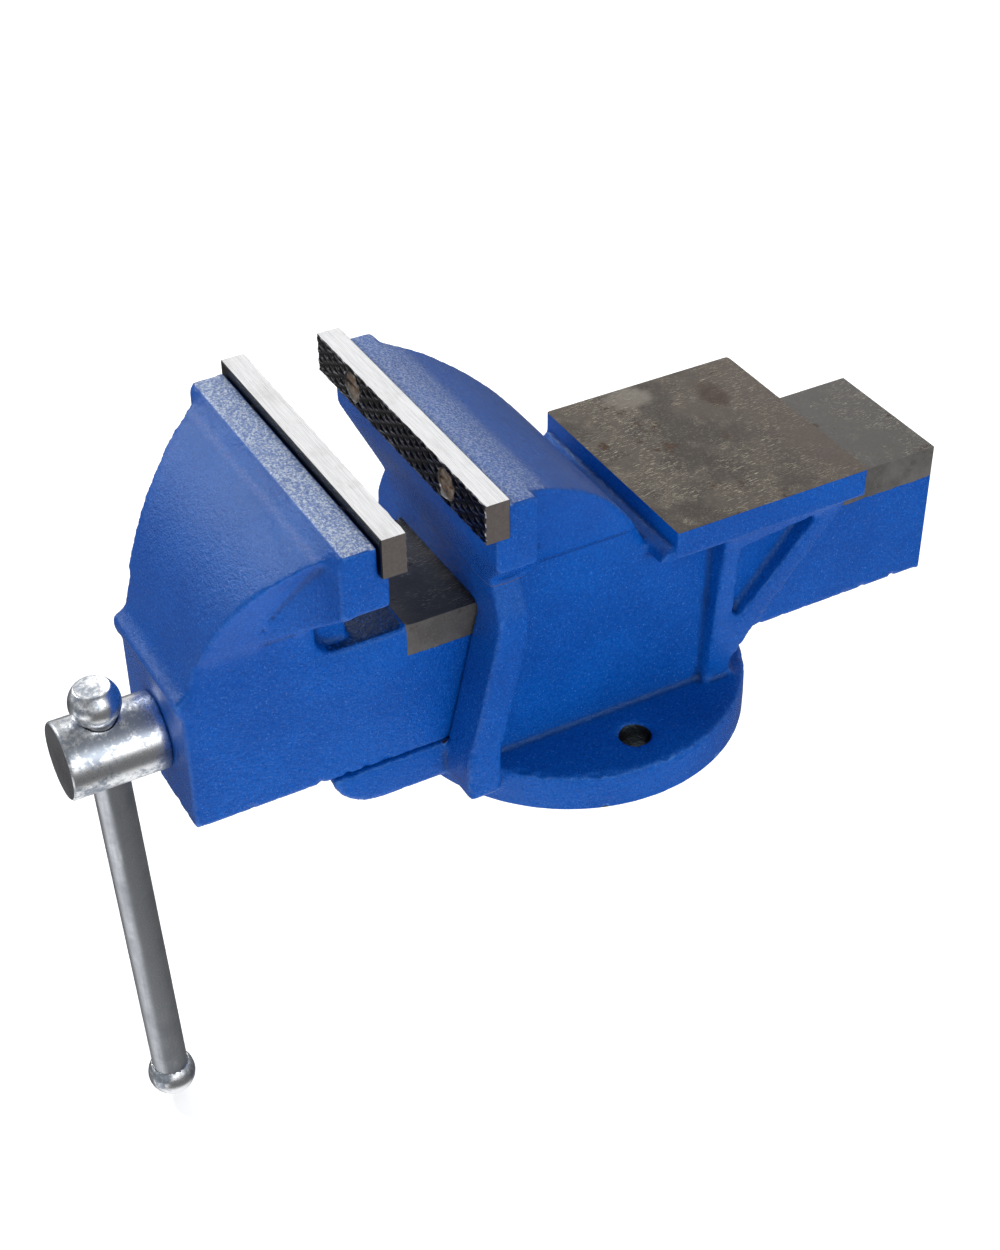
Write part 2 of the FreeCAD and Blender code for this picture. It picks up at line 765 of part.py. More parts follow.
def build_cross_pin(name, y, radius, low, high):
    """A pin square to the spindle, standing along Z."""
    body = new_body(name)
    pad(body, "pin", "Z", low, high, (), [((0.0, y), radius)])
    return keep(body, name)


def build_spring():
    """Take-up spring between the two washers, a wire swept along a helix."""
    low = inner_face + cell.washer_thick + cell.spring_wire + 0.15
    rise = cell.spring_free - cell.spring_wire * 2 - 0.2
    helix = doc.addObject("Part::Helix", "spring_path")
    bind(helix, "Radius", cell.spring_radius)
    bind(helix, "Height", rise)
    helix.Pitch = rise.number / SIZES["spring_turns"]
    wire = doc.addObject("Part::Circle", "spring_section")
    bind(wire, "Radius", cell.spring_wire)
    wire.Placement = FreeCAD.Placement(
        FreeCAD.Vector(0, 0, 0), FreeCAD.Rotation(FreeCAD.Vector(1, 0, 0), 90)
    )
    bind(wire, "Placement.Base.x", cell.spring_radius)
    spring = doc.addObject("Part::Sweep", "takeup_spring")
    spring.Sections = [wire]
    spring.Spine = (helix, [])
    spring.Solid = True
    spring.Frenet = True
    return keep(lay_along_spindle(spring, low.number), "takeup_spring")


def build_handle():
    """Tommy bar through the head, with a knob pressed on each end."""
    bar = new_body("handle_bar")
    upper, lower = cell.upper_knob_z, cell.lower_knob_z
    depth = cell.knob_bore_depth * 0.5
    place = [((0.0, cell.handle_y), cell.bar_radius)]
    pad(bar, "rod", "Z", lower - depth, upper + depth, (), place)
    keep(lean(bar), "handle_bar")
    rise = math.sqrt(SIZES["knob_radius"] ** 2 - SIZES["bar_radius"] ** 2)
    knobs = (
        ("handle_knob_upper", upper, 1, cell.upper_knob_flat),
        ("handle_knob_lower", lower, -1, cell.lower_knob_flat),
    )
    for name, height, up, flat_radius in knobs:
        knob = new_body(name)
        flat = Size(math.sqrt(SIZES["knob_radius"] ** 2 - flat_radius.number**2) * up)
        mouth = Size(-rise * up)
        profile = [
            (0.0, height + depth * up),
            (cell.bar_radius, height + depth * up),
            (cell.bar_radius, height + mouth),
            (flat_radius, height + flat, cell.knob_radius * up),
            (0.0, height + flat),
        ]
        turn(knob, "Revolution", "ball", "Y", cell.handle_y, profile)
        keep(lean(knob), name)


def build_nut():
    """Block nut bolted to the tunnel's floor, bored to clear the thread's crests."""
    body = new_body("main_nut")
    block = box(-cell.nut_side, cell.nut_side, cell.nut_foot, cell.nut_top)
    pad(body, "block", "Y", cell.nut_front, cell.nut_rear, [block])
    round_edges(
        body, "shoulders", 8.0,
        lambda edge: edge.BoundBox.ZMin > SIZES["nut_top"] - 0.1 and edge.BoundBox.YLength > 20,
    )
    bore = ((0.0, cell.axis_z), cell.thread_radius + cell.running_gap)
    pocket(body, "thread_bore", "Y", cell.nut_front - 1.0, cell.nut_rear + 1.0, (), [bore])
    rows = (cell.nut_bolt_front, cell.nut_bolt_rear)
    taps = [((0.0, row), cell.nut_bolt_radius + 0.05) for row in rows]
    pocket(body, "bolt_taps", "Z", cell.nut_foot - 1.0, cell.nut_bolt_top + 1.0, (), taps)
    return keep(body, "main_nut")


def build_nut_bolts():
    """Two socket-head bolts from below, each with a lock washer under its head."""
    bolts = new_body("nut_bolts")
    washers = new_body("nut_lock_washers")
    seat = cell.counterbore_depth - cell.lock_washer_thick
    head_low = seat - cell.nut_bolt_head_high
    for index, row in enumerate((cell.nut_bolt_front, cell.nut_bolt_rear), start=1):
        centre = (0.0, row)
        pad(bolts, f"head_{index}", "Z", head_low, seat, (), [(centre, cell.nut_bolt_head)])
        shank = (centre, cell.nut_bolt_radius)
        pad(bolts, f"shank_{index}", "Z", head_low + 1.0, cell.nut_bolt_top, (), [shank])
        corners = []
        for angle in range(0, 360, 60):
            across = round(math.cos(math.radians(angle)), 6)
            along = round(math.sin(math.radians(angle)), 6)
            corners.append((cell.socket_radius * across, row + cell.socket_radius * along))
        socket_top = head_low + cell.socket_depth
        pocket(bolts, f"socket_{index}", "Z", head_low - 1.0, socket_top, [corners])
        rings = [(centre, cell.lock_washer_radius), (centre, cell.nut_bolt_radius + 0.25)]
        pad(washers, f"washer_{index}", "Z", seat, cell.counterbore_depth, (), rings)
    keep(bolts, "nut_bolts")
    keep(washers, "nut_lock_washers")


def check_nodes():
    """Stops before anything is written if an object failed or a shape is unsound."""
    doc.recompute()
    for item in doc.Objects:
        if "Invalid" in item.State or "Error" in item.State:
            raise RuntimeError(f"{item.Name} failed: {item.State}")
    for node in NODES:
        if node.Shape.isNull() or not node.Shape.isValid() or not node.Shape.Solids:
            raise RuntimeError(f"{node.Label} has no sound shape")


build_movable_jaw()
build_fixed_body()
build_jaw_plate("movable_jaw_plate", seat_moving, cell.grip_moving, -1)
build_jaw_plate("fixed_jaw_plate", cell.grip_fixed, cell.grip_fixed, 1)
build_plate_screws("movable_plate_screws", cell.grip_moving, -1)
build_plate_screws("fixed_plate_screws", cell.grip_fixed, 1)
build_lead_screw()
build_spindle_head()
build_spindle_fittings()
build_cross_pin(
    "head_pin", cell.head_pin_y, cell.head_pin_radius, cell.axis_z - 16.8, cell.axis_z + 5.0
)
build_cross_pin(
    "collar_pin", collar_pin_y, cell.collar_pin_radius, cell.axis_z - 17.0, cell.axis_z + 17.0
)
build_spring()
build_handle()
build_nut()
build_nut_bolts()
check_nodes()
os.makedirs("parts", exist_ok=True)
for node in NODES:
    node.Shape.exportStep(f"parts/{node.Label}.step")
    print(node.Label, len(node.Shape.Solids), round(node.Shape.Volume), node.Shape.BoundBox)
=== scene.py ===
import math

import bmesh
import bpy
import numpy as np
from mathutils import Matrix, Vector, noise


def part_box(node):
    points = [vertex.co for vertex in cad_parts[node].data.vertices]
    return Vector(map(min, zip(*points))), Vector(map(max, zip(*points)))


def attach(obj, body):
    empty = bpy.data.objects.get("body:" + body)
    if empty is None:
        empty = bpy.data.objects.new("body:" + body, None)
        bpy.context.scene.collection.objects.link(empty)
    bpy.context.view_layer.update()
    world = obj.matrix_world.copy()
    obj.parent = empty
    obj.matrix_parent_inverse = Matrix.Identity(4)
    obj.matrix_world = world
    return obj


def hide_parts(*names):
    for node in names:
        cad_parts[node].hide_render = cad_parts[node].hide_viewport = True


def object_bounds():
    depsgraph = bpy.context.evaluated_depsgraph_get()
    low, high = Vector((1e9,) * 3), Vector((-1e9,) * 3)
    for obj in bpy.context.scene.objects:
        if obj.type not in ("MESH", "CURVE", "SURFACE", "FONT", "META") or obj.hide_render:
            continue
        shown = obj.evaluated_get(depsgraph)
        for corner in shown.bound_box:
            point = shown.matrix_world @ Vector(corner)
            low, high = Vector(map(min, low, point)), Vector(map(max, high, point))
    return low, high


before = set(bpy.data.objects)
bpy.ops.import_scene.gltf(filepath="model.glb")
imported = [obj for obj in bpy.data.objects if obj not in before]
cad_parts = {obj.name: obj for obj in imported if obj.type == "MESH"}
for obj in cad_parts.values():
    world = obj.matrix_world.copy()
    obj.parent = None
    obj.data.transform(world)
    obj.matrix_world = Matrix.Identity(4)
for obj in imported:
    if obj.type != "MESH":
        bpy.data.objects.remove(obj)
cad_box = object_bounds()

# Bench vise. Metres; +Y runs from the handle to the anvil, Z is up.
MM = 0.001

RAM_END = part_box("movable_jaw")[1].y
FIXED_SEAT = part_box("fixed_jaw_plate")[1].y
MOVING_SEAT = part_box("movable_jaw_plate")[0].y

# Levels of machined faces.
ANVIL_TOP = 115.8 * MM
RAM_TOP = 98.6 * MM
RAM_SIDE = 34.9 * MM
RAM_FLOOR = 29.5 * MM
SLIDE_GAP = 0.3 * MM

# Where the cast skin gives way to bare metal.
ANVIL_FRONT = 19 * MM
RAM_MACHINED = -97.3 * MM
STRIP_LOW = 82.8 * MM
PAD_FOOT = 160 * MM

# The line of the screw, its bore in the moving jaw's front wall, its end in the barrel and
# the radii of the holes.
SPINDLE_Z = 59.8 * MM
FRONT_WALL = -175 * MM
JOURNAL_BORE = 12.65 * MM
TENON_END = -209 * MM
TENON_BORE = 10.0 * MM
HEAD_PIN_Y = -203 * MM
BAR_HOLE = 8.7 * MM

# The flange's two bolts, the two screws of each plate and how far along y their heads lie.
BOLT_SPACING = 120 * MM
BOLT_HOLE = 8.6 * MM
PLATE_SCREWS = (-42 * MM, 42 * MM)
PLATES_MIDDLE = -97.85 * MM
SCREW_HEADS = 26 * MM

# The slope of the plates' grooves across the jaw, in radians.
GROOVE_LEAN = 0.454

# How far cutting tools reach, so that they pass right through a casting.
CUT_SIDE = 0.1
CUT_FRONT, CUT_BACK = -0.13, 0.14
CUT_END, CUT_TOP = 0.2, 0.12
CUT_THICK = 8 * MM


# ---------------------------------------------------------------- meshes


def link(name, mesh):
    obj = bpy.data.objects.new(name, mesh)
    bpy.context.scene.collection.objects.link(obj)
    return obj


def mesh_object(name, points, faces):
    mesh = bpy.data.meshes.new(name)
    mesh.from_pydata([tuple(p) for p in points], [], faces)
    mesh.validate()
    bm = bmesh.new()
    bm.from_mesh(mesh)
    bmesh.ops.recalc_face_normals(bm, faces=bm.faces)
    bm.to_mesh(mesh)
    bm.free()
    return link(name, mesh)


def prism(name, outline, low, high, axis=0):
    """A solid between two levels of an axis, from an outline in the two other axes."""
    others = [i for i in range(3) if i != axis]
    points = []
    for level in (low, high):
        for a, b in outline:
            point = [0.0, 0.0, 0.0]
            point[axis], point[others[0]], point[others[1]] = level, a, b
            points.append(point)
    count = len(outline)
    faces = [tuple(range(count)), tuple(range(count, 2 * count))]
    for i in range(count):
        j = (i + 1) % count
        faces.append((i, j, j + count, i + count))
    return mesh_object(name, points, faces)


def block(name, low, high):
    outline = [(low[0], low[1]), (high[0], low[1]), (high[0], high[1]), (low[0], high[1])]
    return prism(name, outline, low[2], high[2], axis=2)


def lathe(name, outline, centre, axis, segments=64):
    """A solid turned about an axis through centre, from (radius, length) pairs."""
    along = Vector(axis)
    side = along.orthogonal().normalized()
    other = along.cross(side)
    points, faces = [], []
    for radius, length in outline:
        for i in range(segments):
            angle = 2 * math.pi * i / segments
            around = side * math.cos(angle) + other * math.sin(angle)
            points.append(Vector(centre) + along * length + around * radius)
    for row in range(len(outline) - 1):
        for i in range(segments):
            j = (i + 1) % segments
            a, b = row * segments, (row + 1) * segments
            faces.append((a + i, a + j, b + j, b + i))
    faces.append(tuple(range(segments)))
    faces.append(tuple(range((len(outline) - 1) * segments, len(outline) * segments)))
    return mesh_object(name, points, faces)


def settle(obj):
    """Applies the modifiers."""
    graph = bpy.context.evaluated_depsgraph_get()
    mesh = bpy.data.meshes.new_from_object(obj.evaluated_get(graph))
    obj.modifiers.clear()
    old = obj.data
    obj.data = mesh
    bpy.data.meshes.remove(old)


def join(target, others):
    """Adds the meshes of others to target."""
    bm = bmesh.new()
    for obj in (target, *others):
        bm.from_mesh(obj.data)
    bm.to_mesh(target.data)
    bm.free()
    for obj in others:
        bpy.data.objects.remove(obj)


def carve(obj, tools):
    """Cuts the tools out of a solid."""
    for tool in tools:
        cut = obj.modifiers.new("cut", "BOOLEAN")
        cut.operation = "DIFFERENCE"
        cut.solver = "MANIFOLD"
        cut.object = tool
    settle(obj)
    for tool in tools:
        bpy.data.objects.remove(tool)


def cad_copy(name, node):
    """A welded copy of a CAD node's mesh."""
    obj = link(name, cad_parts[node].data.copy())
    bm = bmesh.new()
    bm.from_mesh(obj.data)
    bmesh.ops.remove_doubles(bm, verts=bm.verts, dist=0.002 * MM)
    bm.to_mesh(obj.data)
    bm.free()
    obj.data.materials.clear()
    return obj


def get_points(mesh):
    flat = np.zeros(len(mesh.vertices) * 3, np.float32)
    mesh.vertices.foreach_get("co", flat)
    return flat.reshape(-1, 3).astype(float)


def set_points(mesh, points):
    mesh.vertices.foreach_set("co", points.astype(np.float32).ravel())
    mesh.update()


def get_normals(mesh):
    flat = np.zeros(len(mesh.vertices) * 3, np.float32)
    mesh.vertex_normals.foreach_get("vector", flat)
    return flat.reshape(-1, 3).astype(float)


def neighbour_mean(mesh, values):
    """Each vertex's mean of values over the vertices it shares an edge with."""
    pairs = np.zeros(len(mesh.edges) * 2, np.int32)
    mesh.edges.foreach_get("vertices", pairs)
    a, b = pairs[0::2], pairs[1::2]
    count = len(mesh.vertices)
    degree = np.bincount(a, minlength=count) + np.bincount(b, minlength=count)
    total = np.stack(
        [
            np.bincount(a, weights=values[b, k], minlength=count)
            + np.bincount(b, weights=values[a, k], minlength=count)
            for k in range(values.shape[1])
        ],
        axis=1,
    )
    return total / np.maximum(degree, 1)[:, None]


def relax(mesh, points, rounds, share=1.0):
    """Moves each point towards its neighbours' mean; share can hold some points still."""
    for _ in range(rounds):
        points = points + 0.5 * share * (neighbour_mean(mesh, points) - points)
    set_points(mesh, points)
    return points


def stand_out(mesh, points):
    """How far each vertex stands out of its neighbours' mean, in mm; below 0 in a corner."""
    return ((points - neighbour_mean(mesh, points)) * get_normals(mesh)).sum(1) / MM


def voxel(obj, size, rounds, crisp=None, face_rounds=0):
    """Rebuilds a solid from voxels and relaxes it, which rounds its edges.

    crisp(points) picks the vertices that keep tight edges. face_rounds smooth the faces
    between the edges only.
    """
    remesh = obj.modifiers.new("voxels", "REMESH")
    remesh.mode = "VOXEL"
    remesh.voxel_size = size
    remesh.adaptivity = 0.0
    settle(obj)
    mesh = obj.data
    first_rounds, flat_limit = 2, 0.045
    points = relax(mesh, get_points(mesh), first_rounds)
    share = np.ones((len(points), 1))
    if crisp is not None:
        share[crisp(points)] = 0.0
    points = relax(mesh, points, rounds - first_rounds, share)
    if face_rounds:
        flat = np.abs(stand_out(mesh, points)) < flat_limit
        relax(mesh, points, face_rounds, share * flat[:, None])


def lumps(points, size, seed):
    """Smooth noise from 0 to 1 at each point, with features of that size."""
    shift = Vector((seed * 17.3, seed * 5.1, seed * 9.7))
    return np.array([0.5 + 0.5 * noise.noise(Vector(p) / size + shift) for p in points])


def mark_edges(obj, spread=3):
    """Stores on each vertex how far it stands out, spread over its neighbours."""
    mesh = obj.data
    away = stand_out(mesh, get_points(mesh))[:, None]
    for _ in range(spread):
        away = 0.5 * away + 0.5 * neighbour_mean(mesh, away)
    layer = mesh.attributes.new("edge", "FLOAT", "POINT")
    layer.data.foreach_set("value", away[:, 0].astype(np.float32))


def smooth_shade(obj, angle=48):
    obj.data.shade_smooth()
    obj.data.set_sharp_from_angle(angle=math.radians(angle))


# ---------------------------------------------------------------- materials


class Shader:
    """The node tree of a material or of the world, built by calls that return sockets."""

    def __init__(self, name, world=None):
        self.material = world or bpy.data.materials.new(name)
        self.material.use_nodes = True
        self.tree = self.material.node_tree
        self.surface = self.tree.nodes["Background" if world else "Principled BSDF"]
        self.place = self.add("ShaderNodeTexCoord").outputs["Generated" if world else "Object"]

    def add(self, kind, **settings):
        node = self.tree.nodes.new(kind)
        for key, value in settings.items():
            setattr(node, key, value)
        return node

    def feed(self, socket, value):
        if isinstance(value, bpy.types.NodeSocket):
            self.tree.links.new(value, socket)
        else:
            socket.default_value = value

    def set(self, **values):
        for key, value in values.items():
            self.feed(self.surface.inputs[key.replace("_", " ")], value)

    def math(self, operation, a, b=0.0):
        node = self.add("ShaderNodeMath", operation=operation)
        self.feed(node.inputs[0], a)
        self.feed(node.inputs[1], b)
        return node.outputs[0]

    def times(self, first, *others):
        """The product of several values."""
        for other in others:
            first = self.math("MULTIPLY", first, other)
        return first

    def sum(self, a, share_a, b, share_b):
        """Two values added in those shares."""
        return self.math("ADD", self.times(a, share_a), self.times(b, share_b))

    def range(self, value, low, high, to_low=0.0, to_high=1.0):
        """A smooth step from to_low to to_high as value goes from low to high."""
        node = self.add("ShaderNodeMapRange", interpolation_type="SMOOTHSTEP")
        for index, item in enumerate((value, low, high, to_low, to_high)):
            self.feed(node.inputs[index], item)
        return node.outputs[0]

    def axis(self, name):
        """A coordinate in the piece's own frame."""
        node = self.add("ShaderNodeSeparateXYZ")
        self.feed(node.inputs[0], self.place)
        return node.outputs[name]

    def facing(self, name):
        """A component of the surface's direction."""
        node = self.add("ShaderNodeSeparateXYZ")
        self.feed(node.inputs[0], self.add("ShaderNodeNewGeometry").outputs["Normal"])
        return node.outputs[name]

    def noise(self, size, detail=2.0, rough=0.5, vector=None, distortion=0.0):
        """Noise from 0 to 1 with features of that size in metres."""
        node = self.add("ShaderNodeTexNoise")
        self.feed(node.inputs["Vector"], vector or self.place)
        node.inputs["Scale"].default_value = 1.0 / size
        node.inputs["Detail"].default_value = detail
        node.inputs["Roughness"].default_value = rough
        node.inputs["Distortion"].default_value = distortion
        return node.outputs[0]

    def grain(self, sizes, detail=2.0, rough=0.5, turn=(0.0, 0.0, 0.0)):
        """Noise whose features have those sizes along x, y and z, turned about the axes."""
        node = self.add("ShaderNodeMapping")
        self.feed(node.inputs["Vector"], self.place)
        node.inputs["Rotation"].default_value = turn
        node.inputs["Scale"].default_value = [1 / size for size in sizes]
        return self.noise(1.0, detail, rough, vector=node.outputs[0])

    def mix(self, factor, a, b):
        node = self.add("ShaderNodeMix", data_type="RGBA")
        self.feed(node.inputs[0], factor)
        self.feed(node.inputs[6], a)
        self.feed(node.inputs[7], b)
        return node.outputs[2]

    def blend(self, factor, a, b):
        node = self.add("ShaderNodeMix", data_type="FLOAT")
        self.feed(node.inputs[0], factor)
        self.feed(node.inputs[2], a)
        self.feed(node.inputs[3], b)
        return node.outputs[0]

    def attribute(self, name):
        return self.add("ShaderNodeAttribute", attribute_name=name).outputs["Fac"]

    def bump(self, height, depth):
        """A bump of that depth in metres."""
        node = self.add("ShaderNodeBump")
        node.inputs["Strength"].default_value = 1.0
        node.inputs["Distance"].default_value = depth
        self.feed(node.inputs["Height"], height)
        return node.outputs[0]

    def scratches(self, count, width, length, amount):
        """Thin straight marks in several directions, as a mask."""
        first_turn, next_turn, soft = 0.5, 2.39996, 0.05
        total = 0.0
        for i in range(count):
            turn = (0.0, 0.0, first_turn + next_turn * i)
            lines = self.grain((width, length, length), 1.0, turn=turn)
            total = self.math("MAXIMUM", total, self.range(lines, amount, amount + soft))
        return total


def rgb(red, green, blue):
    return (red, green, blue, 1.0)


def machined(s, dark, light):
    """Bare machined iron: mottled colour, height of its marks and roughness."""
    cloud = s.noise(24 * MM, 6.0, 0.66)
    fine = s.noise(1.1 * MM, 4.0, 0.7)
    colour = s.mix(s.range(cloud, 0.38, 0.62), dark, light)
    colour = s.mix(s.range(fine, 0.50, 0.72, 0.0, 0.5), colour, rgb(0.20, 0.185, 0.16))
    top = s.range(s.facing("Z"), 0.5, 0.9)
    marks = s.scratches(6, 0.28 * MM, 4.5 * MM, 0.70)
    patch = s.range(s.noise(26 * MM, 3.0), 0.42, 0.58)
    marks = s.times(marks, patch, top)
    curl = s.noise(2.4 * MM, 2.0, 0.5, distortion=1.8)
    curl = s.range(s.math("ABSOLUTE", s.math("SUBTRACT", curl, 0.5)), 0.0, 0.022, 1.0, 0.0)
    curl = s.times(curl, s.range(s.noise(12 * MM, 3.0, 0.6), 0.56, 0.68, 0.0, top))
    marks = s.math("MAXIMUM", marks, s.times(curl, 0.7))
    colour = s.mix(s.times(marks, 0.9), colour, rgb(0.62, 0.58, 0.44))
    rust = s.range(s.noise(14 * MM, 5.0, 0.7), 0.61, 0.68, 0.0, 0.8)
    colour = s.mix(rust, colour, rgb(0.050, 0.022, 0.010))
    lines = s.grain((0.35 * MM, 9 * MM, 0.35 * MM))
    height = s.math("ADD", lines, s.times(marks, -0.8))
    return colour, height, s.range(cloud, 0.3, 0.7, 0.36, 0.58)


def spot(s, x, y, half_x, half_y):
    """A ragged patch of an upward face, as a mask."""
    dx = s.math("DIVIDE", s.math("SUBTRACT", s.axis("X"), x), half_x)
    dy = s.math("DIVIDE", s.math("SUBTRACT", s.axis("Y"), y), half_y)
    away = s.math("ADD", s.times(dx, dx), s.times(dy, dy))
    ragged = s.math("ADD", away, s.times(s.noise(7 * MM, 4.0, 0.65), 1.6))
    return s.range(ragged, 1.0, 1.9, 1.0, 0.0)


def anvil_iron(s):
    """The anvil's ground top, with a pale worn patch and a rusty one."""
    colour, height, rough = machined(s, rgb(0.048, 0.040, 0.033), rgb(0.125, 0.107, 0.090))
    worn = spot(s, -47 * MM, 59 * MM, 11 * MM, 13 * MM)
    colour = s.mix(s.times(worn, 0.5), colour, rgb(0.26, 0.235, 0.20))
    rusty = spot(s, -31 * MM, 95 * MM, 14 * MM, 8 * MM)
    colour = s.mix(s.times(rusty, 0.75), colour, rgb(0.045, 0.022, 0.012))
    warm = s.range(s.axis("Y"), 70 * MM, 118 * MM, 0.0, 0.35)
    colour = s.mix(warm, colour, rgb(0.150, 0.118, 0.105))
    return colour, height, rough


def ram_iron(s):
    """The ram's machined top."""
    return machined(s, rgb(0.092, 0.087, 0.082), rgb(0.140, 0.133, 0.126))


def anvil_mask(s):
    """The fixed casting's bare metal: the anvil's ground top."""
    above = s.math("GREATER_THAN", s.axis("Z"), ANVIL_TOP - 0.1 * MM)
    below = s.math("LESS_THAN", s.axis("Z"), ANVIL_TOP + 0.1 * MM)
    return s.times(above, below)


def ram_mask(s):
    """The moving casting's bare metal: the ram's machined top and a strip down each side."""
    wander = s.times(s.noise(5 * MM, 3.0), 1.6 * MM)
    level = s.math("ADD", s.axis("Z"), wander)
    above = s.math("GREATER_THAN", level, STRIP_LOW + 0.8 * MM)
    behind = s.math("GREATER_THAN", s.axis("Y"), RAM_MACHINED)
    below_top = s.math("LESS_THAN", s.axis("Z"), RAM_TOP + 0.2 * MM)
    return s.times(above, behind, below_top)


def bolt_hole_shade_mask(s):
    """The walls of the flange's two bolt holes, where shade is painted near-black."""
    aside = s.math("SUBTRACT", s.math("ABSOLUTE", s.axis("X")), BOLT_SPACING / 2)
    along = s.axis("Y")
    away = s.math("ADD", s.times(aside, aside), s.times(along, along))
    near = s.math("LESS_THAN", away, BOLT_HOLE**2)
    low = s.math("LESS_THAN", s.axis("Z"), 18 * MM)
    upright = s.math("LESS_THAN", s.math("ABSOLUTE", s.facing("Z")), 0.6)
    return s.times(near, low, upright)


def shoulder_painted_shade_mask(s, top):
    """Where shade is painted: the enamelled top of the ram in front of its machined length,
    under the moving jaw.
    """
    over = s.range(s.axis("Z"), 84 * MM, 87 * MM)
    below = s.range(s.axis("Z"), 101 * MM, 104 * MM, 1.0, 0.0)
    ahead = s.range(s.axis("Y"), -96 * MM, -92 * MM, 1.0, 0.0)
    return s.times(over, below, ahead, top)


def pad_painted_sparkle(s, pads):
    """A painted highlight: pale sparkle on the two pads behind the plates, weaker on the fixed
    jaw.
    """
    share = s.range(s.axis("Y"), -110 * MM, -100 * MM, 1.0, 0.45)
    grains = s.range(s.noise(1.0 * MM, 3.0, 0.65), 0.42, 0.66, 0.25, 1.0)
    return s.times(grains, pads, share)


def enamel(s, edge, peel):
    """Blue paint: drifts, mottling and painted light: light specks as painted glints, pale rims
    partly of thin paint and partly painted highlight, and painted shade in the hollows.
    """
    cloud = s.noise(45 * MM, 3.0, 0.55)
    fine = s.noise(1.1 * MM, 3.0, 0.7)
    thin_paint_rims_and_highlight = s.times(s.range(edge, 0.06, 0.22), s.range(peel, 0.40, 0.62, 0.08, 0.55))
    blue = s.mix(s.range(cloud, 0.3, 0.7), rgb(0.0, 0.068, 0.370), rgb(0.0, 0.088, 0.445))
    for mask, tint in (
        # Light specks: painted glints on the grain of the paint.
        (s.range(s.noise(0.75 * MM, 1.0), 0.66, 0.76, 0.0, 0.5), rgb(0.10, 0.26, 0.66)),
        (s.range(fine, 0.32, 0.55, 0.5, 0.0), rgb(0.0, 0.034, 0.220)),
        (s.range(fine, 0.55, 0.72, 0.0, 0.35), rgb(0.03, 0.17, 0.60)),
        # Pale rims on convex edges: partly thinner paint, partly painted edge highlight.
        (thin_paint_rims_and_highlight, rgb(0.14, 0.34, 0.78)),
        # Painted shade: darker blue in hollows and creases.
        (s.range(edge, -0.02, -0.12, 0.0, 0.8), rgb(0.0, 0.014, 0.100)),
    ):
        blue = s.mix(mask, blue, tint)
    return blue


def paint_material(name, bare_mask, iron):
    """Enamel over a sand casting. bare_mask(shader) says where it is bare, iron(shader) how."""
    s = Shader(name)
    edge = s.attribute("edge")
    peel = s.noise(2.6 * MM, 2.0, 0.5)
    top = s.range(s.facing("Z"), 0.80, 0.95)
    pads = s.times(top, s.range(s.axis("Z"), PAD_FOOT + 4 * MM, PAD_FOOT + 8 * MM))
    painted_sparkle = pad_painted_sparkle(s, pads)
    chip_field = s.math("ADD", s.noise(2.3 * MM, 3.0, 0.6), s.times(edge, 0.35))
    chips = s.range(chip_field, 0.80, 0.825)
    # How strong that painted shade is, lifted in small spots that stand for glints.
    shade_broken_by_glints = s.range(s.noise(1.2 * MM, 2.0), 0.58, 0.66, 0.88, 0.2)
    blue = enamel(s, edge, peel)
    for mask, tint in (
        (chips, rgb(0.040, 0.028, 0.022)),
        # Painted highlight: pale sparkle on the pad tops, which also get a little metallic.
        (s.times(painted_sparkle, 0.9), rgb(0.82, 0.90, 1.0)),
        # Painted shade: dark navy on the ram's top under the moving jaw, with lighter spots as
        # painted glints.
        (s.times(shoulder_painted_shade_mask(s, top), shade_broken_by_glints), rgb(0.0, 0.012, 0.060)),
        # Painted shade: near-black inside the flange's bolt holes.
        (bolt_hole_shade_mask(s), rgb(0.008, 0.008, 0.009)),
    ):
        blue = s.mix(mask, blue, tint)
    height = s.sum(s.noise(0.9 * MM, 3.0, 0.65), 0.9, peel, 0.9)
    pebble = s.noise(1.7 * MM, 3.0, 0.62)
    height = s.math("ADD", height, s.times(pebble, pads, 2.4))
    height = s.math("SUBTRACT", height, s.times(chips, 0.8))
    paint_rough = s.range(s.noise(6 * MM, 2.0), 0.3, 0.7, 0.17, 0.25)
    paint_rough = s.math("MAXIMUM", paint_rough, s.times(chips, 0.75))
    bare = bare_mask(s)
    metal, metal_height, metal_rough = iron(s)
    metal_share = s.times(bare, s.range(top, 0.0, 1.0, 0.25, 0.85))
    s.set(
        Base_Color=s.mix(bare, blue, metal),
        Metallic=s.math("ADD", metal_share, s.times(painted_sparkle, 0.3)),
        Roughness=s.blend(bare, paint_rough, metal_rough),
        Specular_IOR_Level=0.42,
        Specular_Tint=s.mix(bare, rgb(0.50, 0.78, 1.0), rgb(1.0, 1.0, 1.0)),
        Normal=s.bump(s.blend(bare, height, s.times(metal_height, 0.06)), 0.45 * MM),
    )
    return s.material


def steel_material(name, dark, light, roughness, grind, metallic=1.0, rust=0.0, shank_shade=None):
    """Steel with grinding lines; grind gives their size along x, y and z.

    Its last argument is a middle and a reach along y; beyond them, painted shade makes the steel
    near-black inside its hole.
    """
    s = Shader(name)
    lines = s.grain(grind)
    tone = s.sum(s.noise(9 * MM, 3.0, 0.6), 0.6, lines, 0.4)
    colour = s.mix(s.range(tone, 0.3, 0.7), dark, light)
    if rust:
        stain = s.range(s.noise(2.4 * MM, 4.0, 0.7), 0.62 - rust, 0.74 - rust, 0.0, 0.9)
        colour = s.mix(stain, colour, rgb(0.17, 0.085, 0.04))
    if shank_shade:
        middle, reach = shank_shade
        away = s.math("ABSOLUTE", s.math("SUBTRACT", s.axis("Y"), middle))
        # Painted shade: near-black beyond the reach, where the screw sits in its hole.
        colour = s.mix(s.math("GREATER_THAN", away, reach), colour, rgb(0.004, 0.006, 0.012))
    s.set(
        Base_Color=colour,
        Metallic=metallic,
        Roughness=s.range(tone, 0.3, 0.7, *roughness),
        Normal=s.bump(lines, 0.012 * MM),
    )
    return s.material


